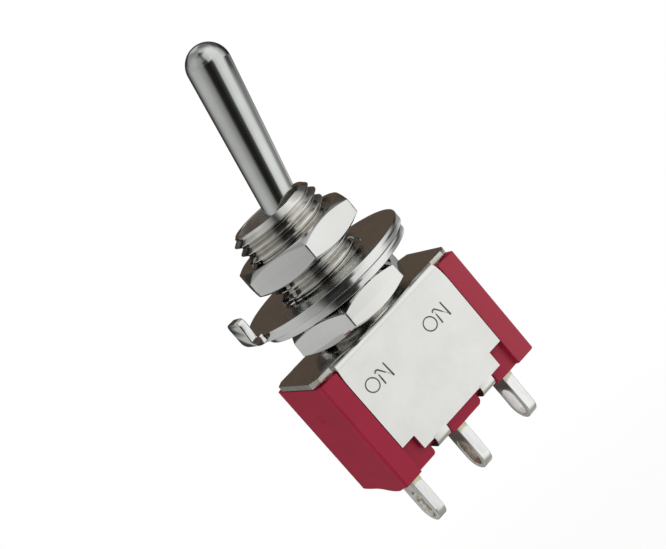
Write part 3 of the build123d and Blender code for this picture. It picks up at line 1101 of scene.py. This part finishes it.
def shape_housing(bm):
    """Rounds the feet's corners and top edges, and bows the underside down behind its front edge."""

    def on_foot(a, c):
        runs_along_y = abs(a.x - c.x) < 0.01 and abs(a.y - c.y) > 1.0
        return max(a.z, c.z) < foot_z and runs_along_y and 1.2 < abs(a.x) < 3.3

    round_edges(bm, 0.24, 5, on_foot)
    for v in bm.verts:
        if v.co.z > -0.45 * MM:
            v.co.z -= 0.07 * MM
    for low_x, high_x, radius in ((4.8, 9.0, 0.38), (-9.0, -4.8, 0.20)):

        def on_top(a, c):
            left, right = min(a.x, c.x), max(a.x, c.x)
            on_side = min(abs(a.y), abs(c.y)) > 3.4
            return min(a.z, c.z) > -0.5 and low_x < left and right < high_x and (left > 6.3 or on_side)

        round_edges(bm, radius, 6, on_top)
    sliced(bm, 1, [-3.2 + 6.4 * k / 22 for k in range(23)])
    sliced(bm, 0, [-6.15 + 12.3 * k / 24 for k in range(25)], below=-8.2)
    for v in bm.verts:
        if v.co.z < -8.6 * MM:
            v.co.z -= sag(v.co.x / MM, v.co.y / MM) * MM


def gate_mark():
    """The small round scar that the moulding's gate leaves on the left face."""
    b = Build()
    centre = Vector((0.012 - body_half_x, 0.42, -3.08))
    profile = [(0.0, 0.070), (0.10, 0.075), (0.17, 0.004), (0.22, 0.004)]
    profile += [(0.29, 0.075), (0.36, 0.060), (0.44, -0.03)]
    b.lathe(rounded(profile, 0.05, 3), 40, place=lambda v: Vector((-v.z, v.x, v.y)) + centre)
    return b


def make_housing():
    """The moulding, with a groove beside the bushing's flange at each corner."""
    grooves = []
    for x_ends in ((-4.84, -6.1), (4.84, 6.1)):
        for y_ends in ((-2.95, -3.14), (2.95, 3.14)):
            grooves.append(box_cutter(x_ends, y_ends, (-0.66, -0.30)))
    piece = softened("housing", "housing_moulding", 0.11, red, grooves, 4, shape_housing, gate_mark())
    belongs(piece, "switch_body", "red_moulding", "housing")


make_housing()


lug_half_x, lug_half_y = 0.38, 1.015


def widen_slot(bm):
    """Widens a lug's slot a little."""
    for v in bm.verts:
        x, y, z = v.co / MM
        if abs(y) < 0.6 and -12.75 < z < -9.9:
            v.co.y *= 1.12


def make_lug(side, wall, *face):
    coats = [silver, lug_metal(f"silver_face_painted_shade_{side}", *face), wall]
    lug = softened(f"terminal_{side}", f"lug_{side}", 0.07, coats, shape=widen_slot)
    # The broad faces take the painted shade, and the slot's wall its painted light and shade.
    coat(lug, 1, lambda c, n: abs(n.x) > 0.9)
    coat(lug, 2, lambda c, n: abs(n.x) < 0.5 and abs(c.y) < 0.66 and -12.7 < c.z < -9.6)
    belongs(lug, "switch_body", "silver_plate", f"terminal_{side}")


# Each lug has its own painted light and shade: the slot wall's coat, the heights of the brown shade and how
# metallic its faces are.
make_lug("left", wall_painted_light_and_shade, -9.6, -8.6, 0.45)
make_lug("common", wall_painted_shade, -11.4, -9.8, 0.85)
make_lug("right", wall_painted_light, -10.6, -9.8, 0.95)


def make_seal(node, name, seed):
    """Potting round a lug, with an uneven collar that crept down it."""
    lo, hi = edges_of(node)
    centre = (lo + hi) / 2
    pocket_x, pocket_y = (hi.x - lo.x) / 2, (hi.y - lo.y) / 2
    fill_x, fill_y = pocket_x - lug_half_x, pocket_y - lug_half_y
    underside = hi.z - 0.50
    rows = []
    for k in range(96):
        t = 2 * PI * k / 96
        c, s = polar(1, t)

        def around(grow_x, grow_y, z):
            """A point of a squarish loop that stands off the lug, less so on its -X face."""
            half_x = lug_half_x + grow_x
            if c < 0 and half_x < pocket_x - 0.1:
                half_x = lug_half_x - 0.01
            x = half_x * math.copysign(abs(c) ** 0.35, c)
            y = (lug_half_y + grow_y) * math.copysign(abs(s) ** 0.35, s)
            return Vector((centre.x + x, centre.y + y, z))

        wave = 0.5 + 0.5 * math.sin(3 * t + seed) * math.cos(2 * t + 1.7 * seed)
        low = lo.z + 0.28 * wave
        full = 0.085 + 0.012 * math.sin(5 * t + seed)
        column = [
            around(fill_x, fill_y, hi.z),
            around(fill_x, fill_y, underside + 0.02),
            around(fill_x - 0.04, fill_y - 0.045, underside - 0.02),
        ]
        for grow, z in (
            (0.20, underside - 0.035),
            (0.13, underside - 0.09),
            (full, underside - 0.25),
            (full * 0.95, (underside + low) / 2),
            (full * 0.90, low + 0.16),
            (full * 0.66, low + 0.05),
            (0.02, low),
            (0.015, low + 0.02),
            (0.015, hi.z),
        ):
            column.append(around(grow, grow, z))
        rows.append(column)
    b = Build()
    b.grid(rows, wrap_rows=True, wrap_columns=True)
    belongs(b.piece(name, epoxy, 60), "switch_body", "epoxy", node)


for i, side in enumerate(("left", "centre", "right")):
    make_seal(f"seal_{side}", f"collar_{side}", 1.3 + 2.1 * i)


# ---------------- inner parts keep their CAD shape


def make_spring():
    """The plunger's spring. It keeps its CAD shape; nothing here makes it shorten as the plunger slides up
    the lever's bore.
    """
    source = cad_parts["plunger_spring"]
    me = source.data.copy()
    me.transform(source.matrix_world)
    spring = as_piece(me, "contact_spring", steel, 60, weighted=False)
    belongs(spring, "lever", "spring_steel", "plunger_spring")
    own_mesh(spring)


make_spring()
paint(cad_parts["plunger"].data, nylon)
paint(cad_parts["rocker_contact"].data, contact)
for side in ("left", "right"):
    paint(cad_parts[f"moving_contact_{side}"].data, contact)
    paint(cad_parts[f"fixed_contact_{side}"].data, contact)


# ---------------- studio


def surround(n, direction):
    """Light by direction, as shiny metal shows it: tent walls, soft boxes and dark gaps.

    Its tones were first read off the photo's metal and then changed."""
    x, y, z = n.xyz(direction)
    turn = n.math("ADD", n.math("DIVIDE", n.math("ARCTAN2", y, x), 2 * PI), 0.5)
    height = n.math("MULTIPLY", n.math("ARCSINE", z), 180 / PI)
    gain = 1 / 0.78

    def tone(v):
        """Light that metal of about 0.78 reflects as an 8-bit grey or colour."""
        return tuple(c * gain for c in (linear(*v) if isinstance(v, tuple) else linear(v, v, v * 0.992)))

    def wall(*stops):
        """Light round the horizon from (azimuth in degrees, tone) stops, which close on the first."""
        return n.ramp(turn, [((a + 180) / 360, tone(v)) for a, v in (*stops, (180, stops[0][1]))])

    # Below eye level: a table edge and the tent's lower wall, with the camera's dark gap
    table = wall(
        (-180, 186), (-158, 162), (-142, 146), (-134, 94), (-128, 50), (-98, 42), (-92, 90), (-88, 212),
        (-60, 238), (-35, 234), (-24, 206), (-17, 166), (-8, 142), (6, 132), (14, 142), (30, 190),
        (55, 196), (63, 140), (70, 60), (104, 60), (111, 130), (116, 174), (150, 184),
    )
    lower = wall(
        (-180, 186), (-158, 162), (-144, 150), (-136, 104), (-128, 50), (-98, 42), (-93, 80), (-88, 214),
        (-60, 238), (-35, 236), (-28, 200), (-20, 140), (-12, 72), (4, 72), (15, 98), (26, 150), (50, 142),
        (62, 120), (70, 58), (104, 60), (111, 136), (116, 175), (150, 184),
    )
    # Above it: the upper wall, whose bright box starts further round
    upper = wall(
        (-180, 188), (-160, 168), (-142, 138), (-133, (82, 77, 68)), (-126, 34), (-108, 28), (-93, 56),
        (-86, 96), (-80, 206), (-60, 236), (-33, 236), (-14, 196), (-2, 158), (8, 96), (18, 42), (36, 44),
        (50, (71, 62, 53)), (67, (79, 67, 56)), (84, (67, 58, 51)), (104, (58, 55, 50)), (112, 86),
        (120, 118), (130, 150), (152, 188),
    )
    raised = wall(
        (-180, 180), (-140, 150), (-126, 66), (-108, 70), (-97, 190), (-76, 234), (-30, 244), (-6, 190),
        (8, 104), (28, 78), (50, (74, 67, 59)), (72, (70, 63, 55)), (84, 48), (98, 42), (108, 84),
        (122, 136), (145, 178),
    )
    high = wall(
        (-180, 188), (-130, 150), (-112, 104), (-98, 200), (-54, 242), (-18, 240), (6, 176), (24, 120),
        (50, 118), (60, 190), (80, 196), (94, 140), (122, 154), (150, 184),
    )
    crown = wall(
        (-180, 160), (-150, 124), (-125, 80), (-105, 62), (-80, 112), (-50, 200), (-10, 192), (30, 172),
        (80, 140), (140, 150),
    )
    light = table
    for low, up, band in (
        (-14.8, -13.3, lower),
        (-11.0, -7.6, upper),
        (13.5, 21.0, raised),
        (31.0, 40.0, high),
        (56.0, 76.0, crown),
    ):
        light = n.mix(n.smooth(height, low, up), light, band)
    return n.mix(n.smooth(height, -78.0, -46.0), tone((146, 145, 134)), light)


def seen_directly(n, path):
    return n.math("MAXIMUM", path.outputs["Is Camera Ray"], path.outputs["Is Transmission Ray"])


def make_world():
    """Plain grey light, white to the camera and the surround to metal."""
    world = bpy.data.worlds.new("studio")
    bpy.context.scene.world = world
    world.use_nodes = True
    n = Nodes(world.node_tree)

    def background(colour):
        node = n.new("ShaderNodeBackground")
        n.put(node.inputs["Color"], colour)
        return node.outputs[0]

    place = n.new("ShaderNodeTexCoord")
    around = background(surround(n, place.outputs["Generated"]))
    path = n.new("ShaderNodeLightPath")
    glossy = n.mix_shader(path.outputs["Is Glossy Ray"], background((0.68, 0.68, 0.68, 1)), around)
    seen = n.mix_shader(seen_directly(n, path), glossy, background((1, 1, 1, 1)))
    n.link(seen, n.new("ShaderNodeOutputWorld").inputs[0])


def make_floor():
    """A white disc that keeps the part's soft shadow. Metal sees the tent's ground in it."""
    b = Build()
    radius, height = 110.0, -45.0
    b.lathe([(0, height), (radius, height)], 96)
    material = bpy.data.materials.new("white_floor")
    material.use_nodes = True
    n = Nodes(material.node_tree)
    diffuse = n.new("ShaderNodeBsdfDiffuse")
    diffuse.inputs["Color"].default_value = (0.80, 0.80, 0.80, 1)
    place = n.new("ShaderNodeTexCoord").outputs["Object"]
    outward = n.new("ShaderNodeVectorMath", operation="NORMALIZE")
    n.link(place, outward.inputs[0])
    seen_white = n.new("ShaderNodeEmission")
    in_metal = n.new("ShaderNodeEmission")
    n.link(surround(n, outward.outputs[0]), in_metal.inputs["Color"])
    for emission in (seen_white, in_metal):
        emission.inputs["Strength"].default_value = 1.0
    distance = n.new("ShaderNodeVectorMath", operation="LENGTH")
    n.link(place, distance.inputs[0])
    whiteness = n.smooth(distance.outputs["Value"], 60 * MM, 100 * MM, 0.94, 1.0)
    path = n.new("ShaderNodeLightPath")
    share = n.math("MULTIPLY", seen_directly(n, path), whiteness)
    white = n.mix_shader(share, diffuse.outputs[0], seen_white.outputs[0])
    both = n.mix_shader(path.outputs["Is Glossy Ray"], white, in_metal.outputs[0])
    n.link(both, n.new("ShaderNodeOutputMaterial").inputs[0])
    as_piece(b.mesh("floor"), "floor", material, weighted=False)


def make_lamp(name, place, aim, size, power):
    data = bpy.data.lights.new(name, "AREA")
    data.shape = "DISK"
    data.size = size * MM
    data.energy = power
    lamp = put_in_scene(name, data)
    lamp.location = Vector(place) * MM
    lamp.rotation_mode = "QUATERNION"
    lamp.rotation_quaternion = (Vector(aim) - Vector(place)).to_track_quat("-Z", "Y")
    lamp.visible_glossy = False
    lamp.visible_camera = False


make_world()
make_floor()
make_lamp("key", (90, -130, 90), (0, 0, -3), 130, 0.045)

# The lens, the place and the direction come from a fit to the edges in the photo
camera_data = bpy.data.cameras.new("view")
camera_data.sensor_width = 36.0
camera_data.lens = 85.81
camera_data.clip_start = 0.001
camera_data.clip_end = 10.0
camera = put_in_scene("view", camera_data)
right = Vector((0.65584, -0.40554, -0.63672))
down = Vector((-0.66487, 0.08915, -0.74162))
forward = Vector((0.35751, 0.90972, -0.21116))
eye = Vector((-35.2098, -90.8137, 24.2528))
turned = Matrix((right, -down, -forward)).transposed().to_4x4()
camera.matrix_world = Matrix.Translation(eye * MM) @ turned
bpy.context.scene.camera = camera
bpy.context.scene.view_settings.view_transform = "Standard"

bpy.context.view_layer.update()
